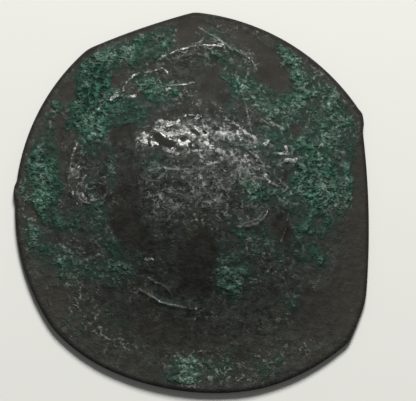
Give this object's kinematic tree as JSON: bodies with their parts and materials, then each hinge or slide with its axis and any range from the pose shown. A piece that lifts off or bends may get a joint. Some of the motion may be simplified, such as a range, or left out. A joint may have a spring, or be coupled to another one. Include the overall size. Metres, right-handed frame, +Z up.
{
  "type": "cup-shaped bronze coin",
  "caption": "Thin cup-shaped struck bronze coin with a clipped many-sided edge and worn relief, lying on its rim with the bulging face up.",
  "frame": {"origin": "middle of the coin's box in plan, on the plane that the rim rests on", "axes": "+Z up, out of the bulging face; +Y up the struck design, along the coin's longer way; +X to the right of the design"},
  "size_m": [0.027, 0.0292, 0.0042],
  "materials": {
    "bronze": "old bronze with a dark brown patina, green corrosion crust in patches, and bare metal rubbed bright on the bulge"
  },
  "bodies": {
    "root": {"coin": "bronze"}
  },
  "joints": []
}
